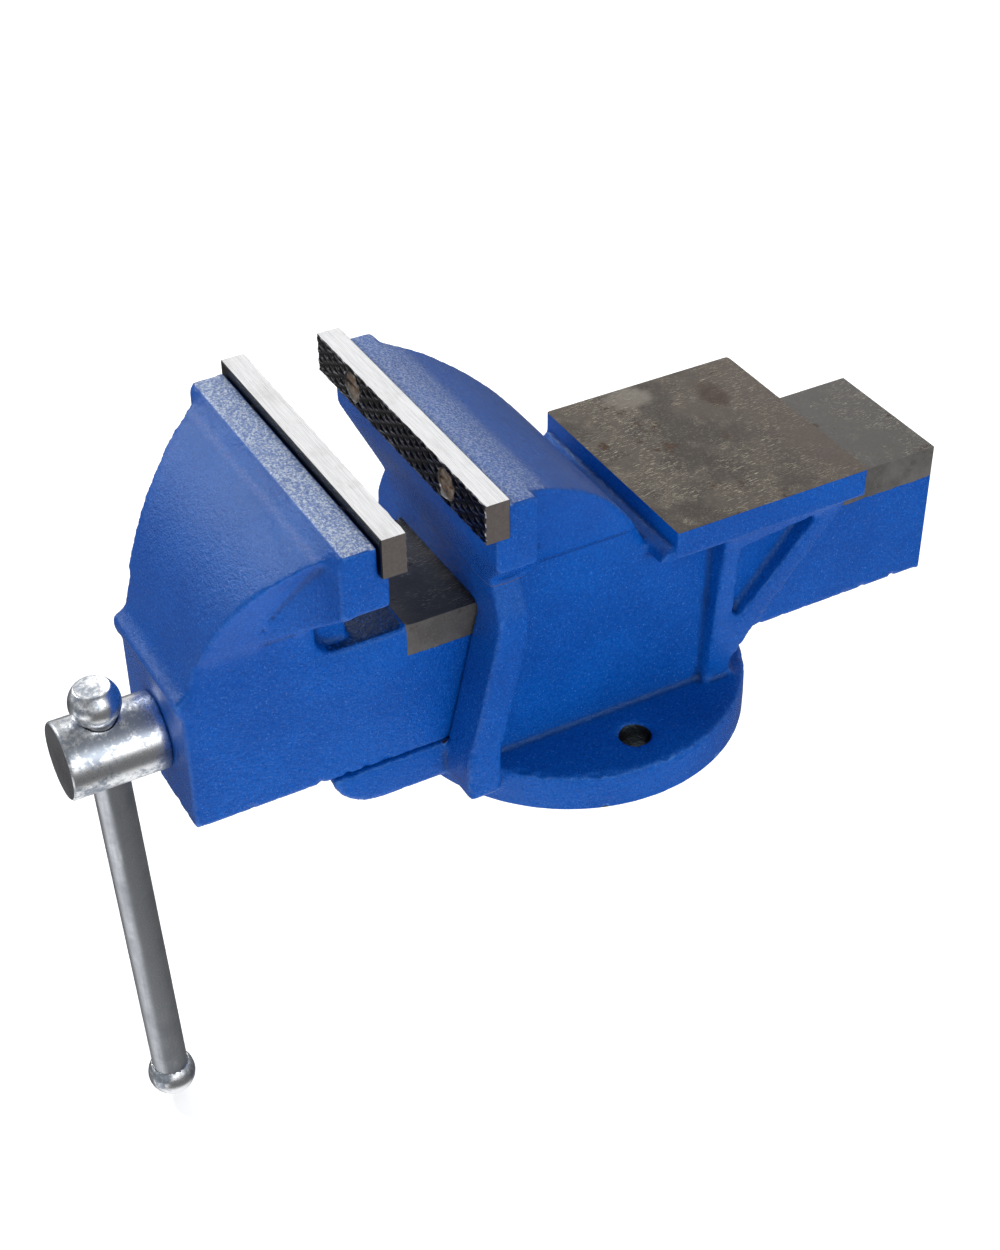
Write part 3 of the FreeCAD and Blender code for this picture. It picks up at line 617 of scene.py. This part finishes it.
def zinc_material(name):
    """Bright zinc plate, mottled, with scratches and painted shade that darkens its end face
    towards the front.
    """
    s = Shader(name)
    bloom = s.noise(2.2 * MM, 6.0, 0.72)
    patch = s.sum(bloom, 0.5, s.noise(13 * MM, 3.0), 0.5)
    colour = s.mix(s.range(patch, 0.43, 0.57), rgb(0.36, 0.40, 0.46), rgb(0.95, 0.955, 0.96))
    # Painted shade: the end face towards the front is darker, standing for the dim reflection it
    # shows.
    end = s.range(s.times(s.facing("Y"), -1.0), 0.90, 0.98)
    end_shade = s.mix(bloom, rgb(0.16, 0.16, 0.17), rgb(0.36, 0.36, 0.37))
    colour = s.mix(end, colour, end_shade)
    marks = s.scratches(3, 0.22 * MM, 3 * MM, 0.73)
    colour = s.mix(s.times(marks, 0.6), colour, rgb(0.16, 0.16, 0.17))
    s.set(
        Base_Color=colour,
        Metallic=1.0,
        Roughness=s.range(patch, 0.40, 0.60, 0.42, 0.24),
        Normal=s.bump(s.math("ADD", bloom, s.times(marks, -0.5)), 0.010 * MM),
    )
    return s.material


def plate_material(name, grip_side):
    """Hardened jaw plate: ground bright, raw at its ends, blackened where it grips and seats."""
    s = Shader(name)
    lines = s.grain((14 * MM, 0.22 * MM, 0.22 * MM))
    chatter = s.grain((1.1 * MM, 9 * MM, 9 * MM), 1.0)
    cloud = s.noise(12 * MM, 3.0, 0.6)
    bright = s.mix(s.range(lines, 0.3, 0.7), rgb(0.42, 0.42, 0.425), rgb(0.66, 0.66, 0.665))
    bright = s.mix(s.range(cloud, 0.5, 0.75, 0.0, 0.25), bright, rgb(0.26, 0.25, 0.24))
    raw = s.noise(1.3 * MM, 4.0, 0.7)
    raw = s.mix(raw, rgb(0.10, 0.088, 0.082), rgb(0.24, 0.21, 0.195))
    end = s.range(s.math("ABSOLUTE", s.facing("X")), 0.75, 0.9)
    colour = s.mix(end, bright, raw)
    toward = s.times(s.facing("Y"), float(grip_side))
    grip = s.range(toward, 0.30, 0.45)
    seat = s.range(toward, -0.45, -0.30, 1.0, 0.0)
    black = s.noise(1.4 * MM, 3.0, 0.6)
    black = s.mix(black, rgb(0.010, 0.010, 0.011), rgb(0.032, 0.031, 0.032))
    crest = s.range(s.attribute("edge"), 0.005, 0.035)
    streaks = s.grain((5.0 * MM, 1.2 * MM, 1.2 * MM), 2.0, 0.6, (0.0, -GROOVE_LEAN, 0.0))
    # Pale streaks on the grip's groove crests: partly worn bright steel, partly painted
    # highlight.
    worn_crests_and_highlight = s.times(crest, grip, s.range(streaks, 0.47, 0.56, 0.1, 1.0))
    black = s.mix(s.times(worn_crests_and_highlight, 0.9), black, rgb(0.60, 0.59, 0.62))
    dirt = s.range(s.noise(3.0 * MM, 3.0, 0.6), 0.66, 0.74, 0.0, 0.6)
    black = s.mix(dirt, black, rgb(0.10, 0.07, 0.045))
    rough = s.blend(end, s.range(lines, 0.3, 0.7, 0.26, 0.40), 0.6)
    s.set(
        Base_Color=s.mix(s.math("MAXIMUM", grip, seat), colour, black),
        Metallic=s.blend(end, 1.0, 0.7),
        Roughness=s.blend(grip, rough, 0.30),
        Normal=s.bump(s.math("ADD", lines, s.times(chatter, 0.5)), 0.010 * MM),
    )
    return s.material


def bar_material(name):
    """Drawn steel bar: satin grey with streaks along it, and a painted highlight that makes one
    side lighter.
    """
    s = Shader(name)
    streaks = s.grain((0.9 * MM, 0.9 * MM, 38 * MM), 3.0, 0.6)
    tone = s.sum(streaks, 0.25, s.noise(11 * MM, 4.0, 0.65), 0.75)
    colour = s.mix(s.range(tone, 0.30, 0.70), rgb(0.42, 0.44, 0.47), rgb(0.66, 0.68, 0.71))
    # Painted highlight: the bar is lighter along one side.
    wander = s.times(s.grain((6 * MM, 6 * MM, 60 * MM), 3.0), 6 * MM)
    lit_side_highlight = s.range(s.math("ADD", s.axis("X"), wander), -2 * MM, 10 * MM, 1.0, 0.0)
    colour = s.mix(s.times(lit_side_highlight, 0.45), colour, rgb(0.82, 0.84, 0.87))
    marks = s.scratches(3, 0.25 * MM, 3 * MM, 0.735)
    colour = s.mix(s.times(marks, 0.6), colour, rgb(0.75, 0.75, 0.75))
    s.set(
        Base_Color=colour,
        Metallic=1.0,
        Roughness=s.range(tone, 0.3, 0.7, 0.36, 0.24),
        Normal=s.bump(streaks, 0.008 * MM),
    )
    return s.material


# ---------------------------------------------------------------- castings

CAST_VOXEL = 1.25 * MM
EDGE_ROUNDS = 8
SKIN_ROUNDS = 60
# How far a machined face is pushed out before it is cut back true.
EXTRA = 3 * MM


def stretch_faces(obj, index, level, step, keep=None):
    """Moves the vertices that lie on a plane outwards, so that the plane can be cut true."""
    points = get_points(obj.data)
    picked = np.abs(points[:, index] - level) < 0.05 * MM
    if keep is not None:
        picked &= keep(points)
    points[picked, index] += step
    set_points(obj.data, points)


def weather_casting(obj, seed, is_true):
    """Uneven cast skin, pressed inwards only, with nicks along the lowest edges.

    is_true(points) picks the machined faces, which stay as they are.
    """
    wave_depth, nick_depth, nick_level = 0.12, 3.5, 0.56
    mesh = obj.data
    points, normals = get_points(mesh), get_normals(mesh)
    free = np.where(is_true(points), 0.0, 1.0)
    waves = wave_depth * lumps(points, 60 * MM, seed)
    nicks = np.clip(lumps(points, 4.2 * MM, seed + 2) - nick_level, 0, 1)
    at_edge = np.clip(stand_out(mesh, points) * 12, 0, 1)
    nicks *= at_edge * np.where(points[:, 2] < 40 * MM, nick_depth, 0.0)
    points -= normals * ((waves + nicks) * free * MM)[:, None]
    set_points(mesh, points)


def tap_plugs(node, inward):
    """Fills the blind holes of the plate screws, which the plate and the screws hide."""
    low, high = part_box(node)
    middle_z = (low.z + high.z) / 2
    seat = high.y if inward > 0 else low.y
    outline = [(4.2 * MM, 0.0), (4.2 * MM, 13.0 * MM)]
    return [
        lathe("plug", outline, (x, seat, middle_z), (0, inward, 0), 24) for x in PLATE_SCREWS
    ]


def make_fixed_casting():
    """The base, body and anvil in one casting, with a true anvil, foot and slide."""

    def on_anvil(p):
        return (p[:, 2] > 101 * MM) & (p[:, 1] > ANVIL_FRONT)

    def at_pad(p):
        return (p[:, 2] > PAD_FOOT) & (p[:, 1] < FIXED_SEAT + 3 * MM)

    def is_true(p):
        return (np.abs(p[:, 2]) < 1 * MM) | on_anvil(p) & (p[:, 2] > ANVIL_TOP)

    obj = cad_copy("fixed_casting", "fixed_jaw_body")
    stretch_faces(obj, 2, ANVIL_TOP, EXTRA)
    stretch_faces(obj, 2, 0.0, -EXTRA)
    bead = [(13.5, 101.0), (22.0, 101.0), (22.0, 106.5), (18.5, 106.0), (15.5, 104.2)]
    bead = prism("bead", [(y * MM, z * MM) for y, z in bead], -54 * MM, 54 * MM)
    join(obj, [bead, *tap_plugs("fixed_jaw_plate", 1)])
    voxel(obj, CAST_VOXEL, EDGE_ROUNDS, lambda p: on_anvil(p) | at_pad(p), SKIN_ROUNDS)
    weather_casting(obj, 1, is_true)
    side, inner = RAM_SIDE + SLIDE_GAP, 30 * MM
    floor, roof = RAM_FLOOR - SLIDE_GAP, RAM_TOP + SLIDE_GAP
    over = ANVIL_TOP + CUT_THICK
    tools = (
        ("over_anvil", (-CUT_SIDE, ANVIL_FRONT, ANVIL_TOP), (CUT_SIDE, CUT_BACK, over)),
        ("under_base", (-CUT_SIDE, -CUT_SIDE, -CUT_THICK), (CUT_SIDE, CUT_SIDE, 0.0)),
        ("tunnel_left", (-side, CUT_FRONT, floor), (-inner, CUT_BACK, roof)),
        ("tunnel_right", (inner, CUT_FRONT, floor), (side, CUT_BACK, roof)),
        ("tunnel_roof", (-side, CUT_FRONT, roof - CUT_THICK), (side, CUT_BACK, roof)),
    )
    carve(obj, [block(*tool) for tool in tools])
    return obj


def make_moving_casting():
    """The front jaw and its ram in one casting, with a true ram top, end and screw bore."""

    def machined_ram(p):
        low_enough = p[:, 2] < 110 * MM
        return (p[:, 2] > STRIP_LOW) & (p[:, 1] > RAM_MACHINED - 1 * MM) & low_enough

    def at_end(p):
        return p[:, 1] > RAM_END - 1 * MM

    def at_pad(p):
        return (p[:, 2] > PAD_FOOT) & (p[:, 1] > MOVING_SEAT - 3 * MM)

    def is_true(p):
        return machined_ram(p) | at_end(p)

    obj = cad_copy("moving_casting", "movable_jaw")
    stretch_faces(obj, 2, RAM_TOP, EXTRA, lambda p: p[:, 1] > RAM_MACHINED - 0.1 * MM)
    stretch_faces(obj, 1, RAM_END, EXTRA)
    join(obj, tap_plugs("movable_jaw_plate", -1))
    voxel(obj, CAST_VOXEL, EDGE_ROUNDS, lambda p: is_true(p) | at_pad(p), SKIN_ROUNDS)
    weather_casting(obj, 5, is_true)
    bore = [(JOURNAL_BORE, -40 * MM), (JOURNAL_BORE, 5 * MM)]
    start = RAM_MACHINED - 1.0 * MM
    over, behind = RAM_TOP + CUT_THICK, RAM_END + CUT_THICK
    carve(
        obj,
        [
            block("over_ram", (-CUT_SIDE, start, RAM_TOP), (CUT_SIDE, CUT_END, over)),
            block("behind_ram", (-CUT_SIDE, RAM_END, 0.0), (CUT_SIDE, behind, CUT_TOP)),
            lathe("bore", bore, (0.0, FRONT_WALL, SPINDLE_Z), (0, 1, 0), 96),
        ],
    )
    return obj


# ---------------------------------------------------------------- jaw plates


def groove_depth(grid_x, grid_z):
    """How deep two families of crossing V grooves cut at each place."""
    across, rise = 10.8 * MM, 5.35 * MM
    deepest, half_width = 0.75 * MM, 1.70 * MM
    tilt = math.hypot(1 / across, 1 / rise)
    depth = np.zeros_like(grid_x)
    for sign in (1, -1):
        turns = grid_x / across + sign * grid_z / rise
        nearest = np.abs(turns - np.round(turns)) / tilt
        depth = np.maximum(depth, deepest * np.clip(1 - nearest / half_width, 0, 1))
    return depth


def make_plate(name, node, grip_side):
    """A grooved plate with holes for its screws. grip_side is its gripping face's direction."""
    low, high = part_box(node)
    step = 0.45 * MM
    chamfer, inset, fade = 0.35 * MM, 0.4 * MM, 2.5 * MM
    columns = round((high.x - low.x) / step) + 1
    rows = round((high.z - low.z) / step) + 1
    xs = np.linspace(low.x, high.x, columns)
    zs = np.linspace(low.z, high.z, rows)
    grid_x, grid_z = np.meshgrid(xs, zs)
    rim = np.minimum.reduce([grid_x - low.x, high.x - grid_x, grid_z - low.z, high.z - grid_z])
    depth = groove_depth(grid_x, grid_z) * np.clip(0.35 + rim / fade, 0, 1)
    depth += np.clip(chamfer - rim, 0, None)
    grip_y, back_y = (high.y, low.y) if grip_side > 0 else (low.y, high.y)
    points = [
        (x, grip_y - grip_side * d, z)
        for x, z, d in zip(grid_x.ravel(), grid_z.ravel(), depth.ravel())
    ]
    faces = []
    for r in range(rows - 1):
        for c in range(columns - 1):
            a = r * columns + c
            faces.append((a, a + 1, a + 1 + columns, a + columns))
    border = [(0, c) for c in range(columns)]
    border += [(r, columns - 1) for r in range(1, rows)]
    border += [(rows - 1, c) for c in range(columns - 2, -1, -1)]
    border += [(r, 0) for r in range(rows - 2, 0, -1)]
    first = len(points)
    for r, c in border:
        points.append((xs[c], back_y + grip_side * inset, zs[r]))
    second = len(points)
    for r, c in border:
        x = min(max(xs[c], low.x + inset), high.x - inset)
        z = min(max(zs[r], low.z + inset), high.z - inset)
        points.append((x, back_y, z))
    count = len(border)
    for i in range(count):
        j = (i + 1) % count
        ai = border[i][0] * columns + border[i][1]
        aj = border[j][0] * columns + border[j][1]
        faces.append((ai, aj, first + j, first + i))
        faces.append((first + i, first + j, second + j, second + i))
    faces.append(tuple(range(second, second + count)))
    plate = mesh_object(name, points, faces)
    # Radius and distance from the back, in mm: the shank's hole, the head's and its mouth.
    hole = ((4.4, -2.0), (4.4, 5.3), (6.9, 5.3), (6.9, 10.3), (7.3, 11.0), (7.3, 13.0))
    hole = [(radius * MM, length * MM) for radius, length in hole]
    middle_z = (low.z + high.z) / 2
    along = (0, grip_side, 0)
    carve(
        plate,
        [lathe("hole", hole, (x, back_y, middle_z), along, 48) for x in PLATE_SCREWS],
    )
    mark_edges(plate, 1)
    smooth_shade(plate, 35)
    return plate


# ---------------------------------------------------------------- handle


def make_bar():
    """The bar, turned about the line that its CAD solid follows, with slight flats and dings."""
    points = get_points(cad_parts["handle_bar"].data)
    low, high = points[:, 2].min(), points[:, 2].max()
    slice_high = (high - low) / 2 * 0.1
    foot = points[points[:, 2] < low + slice_high].mean(0)
    top = points[points[:, 2] > high - slice_high].mean(0)
    axis = Vector(top - foot).normalized()
    along = points @ np.array(axis)
    middle = Vector((top + foot) / 2)
    start, end = along.min() - middle.dot(axis), along.max() - middle.dot(axis)
    radius = points[:, 0].max()
    rings, corner, round_off, worn = 90, 0.5 * MM, 0.1 * MM, 0.03 * MM
    outline = [(radius - corner, start), (radius - round_off, start + 0.4 * MM)]
    outline += [(radius - worn, start + (end - start) * i / rings) for i in range(1, rings)]
    outline += [(radius - round_off, end - 0.4 * MM), (radius - corner, end)]
    bar = lathe("bar", outline, middle, axis, 72)
    points = get_points(bar.data)
    reach = points - np.array(middle)
    outward = reach - (reach @ np.array(axis))[:, None] * np.array(axis)
    outward /= np.linalg.norm(outward, axis=1, keepdims=True)
    flats = np.clip(lumps(points * [1, 1, 0.25], 5 * MM, 31) - 0.55, 0, 1) * 0.30
    dings = np.clip(lumps(points, 2.6 * MM, 33) - 0.80, 0, 1) * 2.0
    set_points(bar.data, points - outward * ((flats + dings) * MM)[:, None])
    smooth_shade(bar, 40)
    return bar


def make_head():
    """The turned barrel, bored for the leaning bar, the screw's end and their pin."""
    low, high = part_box("spindle_head")
    radius, mid_z = (high.x - low.x) / 2, (low.z + high.z) / 2
    edge, soft = 0.7 * MM, 0.25 * MM
    length, rings = high.y - low.y, 12
    outline = [(radius - edge, 0.0), (radius - soft, edge - soft), (radius, edge + soft)]
    outline += [(radius, length * i / rings) for i in range(1, rings)]
    outline += [(radius, length - edge - soft), (radius - soft, length - edge + soft)]
    outline += [(radius - edge, length)]
    head = lathe("barrel_head", outline, (0.0, low.y, mid_z), (0, 1, 0), 128)
    knobs = ("handle_knob_upper", "handle_knob_lower")
    upper, lower = (sum(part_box(node), Vector()) / 2 for node in knobs)
    hole = [(BAR_HOLE, -0.2), (BAR_HOLE, 0.2)]
    tenon = [(TENON_BORE, 0.0), (TENON_BORE, 0.05)]
    pin = [(3 * MM, 2 * MM), (3 * MM, 30 * MM)]
    carve(
        head,
        [
            lathe("hole", hole, upper, (upper - lower).normalized(), 64),
            lathe("bore", tenon, (0.0, TENON_END, mid_z), (0, 1, 0), 64),
            lathe("pin_hole", pin, (0.0, HEAD_PIN_Y, mid_z), (0, 0, -1), 32),
        ],
    )
    mark_edges(head, 1)
    smooth_shade(head, 35)
    return head


def make_ball(name, node, seed):
    """A knob of the bar with softened edges and slight dents, from its CAD solid."""
    obj = cad_copy(name, node)
    voxel(obj, 0.42 * MM, 4)
    points, normals = get_points(obj.data), get_normals(obj.data)
    dents = np.clip(lumps(points, 5 * MM, seed) - 0.5, 0, 1) * 0.14
    points -= normals * (dents * MM)[:, None]
    set_points(obj.data, points)
    mark_edges(obj)
    smooth_shade(obj)
    return obj


# ---------------------------------------------------------------- assembly


def dress(obj, material, body, slot, *nodes):
    obj.data.materials.clear()
    obj.data.materials.append(material)
    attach(obj, body)
    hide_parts(*nodes)


fixed_casting = make_fixed_casting()
moving_casting = make_moving_casting()
for casting in (fixed_casting, moving_casting):
    mark_edges(casting)
    smooth_shade(casting)
fixed_paint = paint_material("paint_fixed", anvil_mask, anvil_iron)
moving_paint = paint_material("paint_moving", ram_mask, ram_iron)
dress(fixed_casting, fixed_paint, "fixed", "blue_paint", "fixed_jaw_body")
dress(moving_casting, moving_paint, "moving_jaw", "blue_paint", "movable_jaw")

for name, node, side, body in (
    ("fixed_plate", "fixed_jaw_plate", -1, "fixed"),
    ("moving_plate", "movable_jaw_plate", 1, "moving_jaw"),
):
    plate, steel = make_plate(name, node, side), plate_material(f"{name}_steel", side)
    dress(plate, steel, body, "jaw_steel", node)

zinc = zinc_material("zinc_plate")
dress(make_head(), zinc, "spindle", "zinc_plate", "spindle_head")
for name, node, seed in (
    ("upper_ball", "handle_knob_upper", 51),
    ("lower_ball", "handle_knob_lower", 52),
):
    dress(make_ball(name, node, seed), zinc, "handle", "zinc_plate", node)
dress(make_bar(), bar_material("bar_steel"), "handle", "bar_steel", "handle_bar")

turned = (30 * MM, 0.4 * MM, 30 * MM)
blotch = (2.2 * MM, 2.2 * MM, 2.2 * MM)
CAD_MATERIALS = {
    "screw_steel": steel_material(
        "screw_steel",
        rgb(0.16, 0.155, 0.15),
        rgb(0.36, 0.35, 0.34),
        roughness=(0.28, 0.45),
        grind=turned,
    ),
    "dark_steel": steel_material(
        "dark_steel",
        rgb(0.035, 0.034, 0.034),
        rgb(0.10, 0.098, 0.096),
        roughness=(0.36, 0.55),
        grind=turned,
        rust=0.02,
    ),
    "rusty_screws": steel_material(
        "rusty_screws",
        rgb(0.025, 0.018, 0.015),
        rgb(0.42, 0.36, 0.28),
        roughness=(0.5, 0.75),
        grind=blotch,
        metallic=0.2,
        rust=0.16,
        shank_shade=(PLATES_MIDDLE, SCREW_HEADS),
    ),
    "bare_iron": steel_material(
        "bare_iron",
        rgb(0.10, 0.095, 0.09),
        rgb(0.22, 0.21, 0.20),
        roughness=(0.4, 0.6),
        grind=turned,
        metallic=0.9,
        rust=0.02,
    ),
}
KIND = {
    "lead_screw": "screw_steel",
    "main_nut": "bare_iron",
    "fixed_plate_screws": "rusty_screws",
    "movable_plate_screws": "rusty_screws",
}
for node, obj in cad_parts.items():
    obj.data.materials.clear()
    obj.data.materials.append(CAD_MATERIALS[KIND.get(node, "dark_steel")])


# ---------------------------------------------------------------- floor, light and camera


def make_floor():
    """A white floor that reflections don't see."""
    half, z = 40.0, cad_box[0].z - 4 * MM
    corners = [(-half, -half, z), (half, -half, z), (half, half, z), (-half, half, z)]
    floor = mesh_object("floor", corners, [(0, 1, 2, 3)])
    s = Shader("floor")
    tone = s.noise(0.6, 2.0)
    s.set(
        Base_Color=s.mix(tone, rgb(0.92, 0.92, 0.92), rgb(0.95, 0.95, 0.95)),
        Roughness=0.9,
        Emission_Color=rgb(1.0, 1.0, 1.0),
        Emission_Strength=0.50,
    )
    floor.data.materials.append(s.material)
    floor.visible_glossy = False


def make_light(name, direction, distance, size, radiance):
    """A white softbox that looks at the middle of the vise from a direction."""
    lamp = bpy.data.lights.new(name, "AREA")
    lamp.shape = "RECTANGLE"
    lamp.size, lamp.size_y = size
    lamp.energy = math.pi * size[0] * size[1] * radiance
    obj = bpy.data.objects.new(name, lamp)
    bpy.context.scene.collection.objects.link(obj)
    target = Vector((0.0, -0.03, 0.08))
    away = Vector(direction).normalized()
    obj.location = target + away * distance
    obj.rotation_euler = away.to_track_quat("Z", "Y").to_euler()


def make_world():
    """Soft light from above, brightest at the horizon, over a dim studio with two glows."""
    world = bpy.data.worlds.new("studio")
    s = Shader("studio", world)
    above = s.range(s.axis("Z"), 0.05, 0.35, 0.85, 0.34)
    up = s.range(s.axis("Z"), -0.06, -0.03)
    in_front = s.range(s.axis("Y"), -0.35, -0.75)
    front_glow = s.times(in_front, s.range(s.axis("Z"), -0.30, -0.50, 0.0, 1.1))
    under_glow = s.range(s.axis("Z"), -0.68, -0.95)
    dim = 0.14
    low = s.math("MAXIMUM", s.math("MAXIMUM", front_glow, under_glow), dim)
    s.set(Color=rgb(0.97, 0.98, 1.0), Strength=s.blend(up, low, above))
    bpy.context.scene.world = world


def make_camera():
    azimuth, elevation, roll = (math.radians(a) for a in (61.391, 37.710, 0.651))
    away = Vector(
        (
            math.sin(azimuth) * math.cos(elevation),
            -math.cos(azimuth) * math.cos(elevation),
            math.sin(elevation),
        )
    )
    level = Vector((0, 0, 1)).cross(away).normalized()
    upright = away.cross(level)
    right = math.cos(roll) * level - math.sin(roll) * upright
    up = math.sin(roll) * level + math.cos(roll) * upright
    camera = bpy.data.cameras.new("camera")
    camera.lens = 61.64
    camera.sensor_width = 36.0
    obj = bpy.data.objects.new("camera", camera)
    bpy.context.scene.collection.objects.link(obj)
    turn = Matrix((right, up, away)).transposed().to_4x4()
    obj.matrix_world = Matrix.Translation((0.66213, -0.39568, 0.63482)) @ turn
    bpy.context.scene.camera = obj


make_floor()
make_world()
for light in (
    ("right_box", (0.85, 0.05, 0.36), 2.0, (1.4, 1.0), 3.4),
    ("back_box", (-0.69, 0.38, 0.61), 2.0, (1.4, 1.4), 1.4),
    ("front_box", (-0.69, -0.48, 0.55), 1.7, (0.32, 0.32), 42.0),
):
    make_light(*light)
make_camera()
bpy.context.scene.view_settings.view_transform = "Standard"
